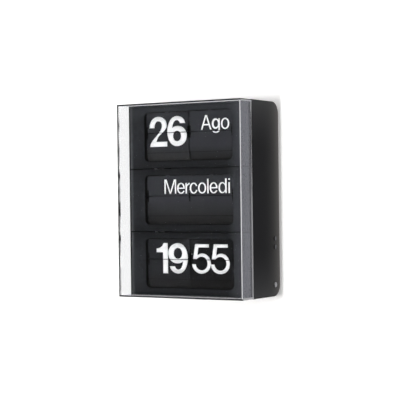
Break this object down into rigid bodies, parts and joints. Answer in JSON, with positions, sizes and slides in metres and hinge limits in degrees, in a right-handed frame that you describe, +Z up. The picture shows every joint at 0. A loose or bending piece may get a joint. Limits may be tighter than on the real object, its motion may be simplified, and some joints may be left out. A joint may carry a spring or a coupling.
{
  "type": "flip clock with calendar",
  "caption": "Wall or desk split-flap clock: date and month, weekday, hours and minutes in three windows behind a clear box cover.",
  "frame": {"origin": "middle of the base of the bounding box", "axes": "+Z up, +Y to the wall behind the clock, -Y to the viewer, +X to the viewer's right"},
  "size_m": [0.2636, 0.137, 0.35],
  "materials": {
    "case_paint": "black satin stove enamel on sheet steel",
    "clear_acrylic": "clear cast acrylic, polished",
    "mask_plastic": "black plastic with a fine pebbled grain",
    "drum_plastic": "black moulded plastic",
    "flap_plastic": "black satin plastic sheet with white lettering",
    "zinc_steel": "zinc-plated stamped steel",
    "bright_steel": "bright turned steel",
    "spring_steel": "blued spring steel leaf",
    "gear_plastic": "natural acetal",
    "gear_brass": "turned and hobbed brass",
    "nickel_screw": "nickel-plated steel",
    "motor_steel": "zinc-plated steel can",
    "button_plastic": "black moulded plastic",
    "rubber_bush": "black rubber",
    "terminal_plastic": "cream moulded nylon"
  },
  "bodies": {
    "frame": {"axle_nuts": "zinc_steel", "back_screws": "nickel_screw", "cable_grommet": "rubber_bush", "case_shell": "case_paint", "date_axle": "bright_steel", "date_flap_catch": "spring_steel", "date_flap_stack": "flap_plastic", "date_left_cheek": "zinc_steel", "date_mask": "mask_plastic", "date_right_cheek": "zinc_steel", "frame_screws": "zinc_steel", "hour_flap_stack": "flap_plastic", "link_guides": "bright_steel", "minute_flap_stack": "flap_plastic", "month_flap_stack": "flap_plastic", "motor_body": "motor_steel", "motor_screws": "zinc_steel", "set_switch_block": "terminal_plastic", "side_screws": "nickel_screw", "side_standoffs": "zinc_steel", "terminal_block": "terminal_plastic", "time_axle": "bright_steel", "time_flap_catch": "spring_steel", "time_left_cheek": "zinc_steel", "time_mask": "mask_plastic", "time_right_cheek": "zinc_steel", "wall_plate": "zinc_steel", "weekday_axle": "bright_steel", "weekday_flap_catch": "spring_steel", "weekday_flap_stack": "flap_plastic", "weekday_left_cheek": "zinc_steel", "weekday_mask": "mask_plastic", "weekday_right_cheek": "zinc_steel"},
    "cover": {"clear_cover": "clear_acrylic"},
    "minute_display": {"minute_drum": "drum_plastic", "minute_gear": "gear_plastic", "minute_cam": "gear_plastic"},
    "hour_display": {"hour_drum": "drum_plastic", "hour_ratchet": "gear_plastic", "hour_cam": "gear_plastic"},
    "weekday_display": {"weekday_drum": "drum_plastic", "weekday_ratchet": "gear_plastic"},
    "date_display": {"date_drum": "drum_plastic", "date_ratchet": "gear_plastic", "date_cam": "gear_plastic"},
    "month_display": {"month_drum": "drum_plastic", "month_ratchet": "gear_plastic"},
    "pinion": {"motor_pinion": "gear_brass"},
    "hour_lever": {"hour_rocker": "gear_plastic"},
    "month_lever": {"month_rocker": "gear_plastic"},
    "link": {"day_link": "zinc_steel"},
    "upper_button": {"upper_set_button": "button_plastic"},
    "lower_button": {"lower_set_button": "button_plastic"},
    "minute_flap": {"minute_leading_flap": "flap_plastic"},
    "hour_flap": {"hour_leading_flap": "flap_plastic"},
    "weekday_flap": {"weekday_leading_flap": "flap_plastic"},
    "date_flap": {"date_leading_flap": "flap_plastic"},
    "month_flap": {"month_leading_flap": "flap_plastic"}
  },
  "joints": [
    {"name": "cover_pull", "type": "slide", "parent": "frame", "child": "cover", "axis": [0, -1, 0], "range_m": [0, 0.05]},
    {"name": "minute_drum_spin", "type": "hinge", "parent": "frame", "child": "minute_display", "pos_m": [0, -0.0024, 0.0683], "axis": [1, 0, 0], "continuous": true},
    {"name": "hour_drum_spin", "type": "hinge", "parent": "frame", "child": "hour_display", "pos_m": [0, -0.0024, 0.0683], "axis": [1, 0, 0], "continuous": true},
    {"name": "weekday_drum_spin", "type": "hinge", "parent": "frame", "child": "weekday_display", "pos_m": [0, -0.0024, 0.1831], "axis": [1, 0, 0], "continuous": true},
    {"name": "date_drum_spin", "type": "hinge", "parent": "frame", "child": "date_display", "pos_m": [0, -0.0024, 0.2979], "axis": [1, 0, 0], "continuous": true},
    {"name": "month_drum_spin", "type": "hinge", "parent": "frame", "child": "month_display", "pos_m": [0, -0.0024, 0.2979], "axis": [1, 0, 0], "continuous": true},
    {"name": "minute_flap_fall", "type": "hinge", "parent": "frame", "child": "minute_flap", "pos_m": [0, -0.0284, 0.0683], "axis": [1, 0, 0], "range_deg": [0, 180]},
    {"name": "hour_flap_fall", "type": "hinge", "parent": "frame", "child": "hour_flap", "pos_m": [0, -0.0284, 0.0683], "axis": [1, 0, 0], "range_deg": [0, 180]},
    {"name": "weekday_flap_fall", "type": "hinge", "parent": "frame", "child": "weekday_flap", "pos_m": [0, -0.0284, 0.1831], "axis": [1, 0, 0], "range_deg": [0, 180]},
    {"name": "date_flap_fall", "type": "hinge", "parent": "frame", "child": "date_flap", "pos_m": [0, -0.0284, 0.2979], "axis": [1, 0, 0], "range_deg": [0, 180]},
    {"name": "month_flap_fall", "type": "hinge", "parent": "frame", "child": "month_flap", "pos_m": [0, -0.0284, 0.2979], "axis": [1, 0, 0], "range_deg": [0, 180]},
    {"name": "motor_pinion_spin", "type": "hinge", "parent": "frame", "child": "pinion", "pos_m": [0.1, 0.01363, 0.04054], "axis": [1, 0, 0], "continuous": true},
    {"name": "hour_lever_lift", "type": "hinge", "parent": "frame", "child": "hour_lever", "pos_m": [0, 0.04344, 0.09476], "axis": [-1, 0, 0], "range_deg": [0, 5]},
    {"name": "month_lever_lift", "type": "hinge", "parent": "frame", "child": "month_lever", "pos_m": [0, 0.04344, 0.32436], "axis": [-1, 0, 0], "range_deg": [0, 5]},
    {"name": "day_link_lift", "type": "slide", "parent": "frame", "child": "link", "axis": [0, 0, 1], "range_m": [0, 0.004]},
    {"name": "upper_button_press", "type": "slide", "parent": "frame", "child": "upper_button", "axis": [-1, 0, 0], "range_m": [0, 0.0025], "stiffness_N_per_m": 400, "springref_m": -0.002},
    {"name": "lower_button_press", "type": "slide", "parent": "frame", "child": "lower_button", "axis": [-1, 0, 0], "range_m": [0, 0.0025], "stiffness_N_per_m": 400, "springref_m": -0.002}
  ],
  "couplings": [
    {"joint": "motor_pinion_spin", "follows": "minute_drum_spin", "ratio": -3}
  ]
}
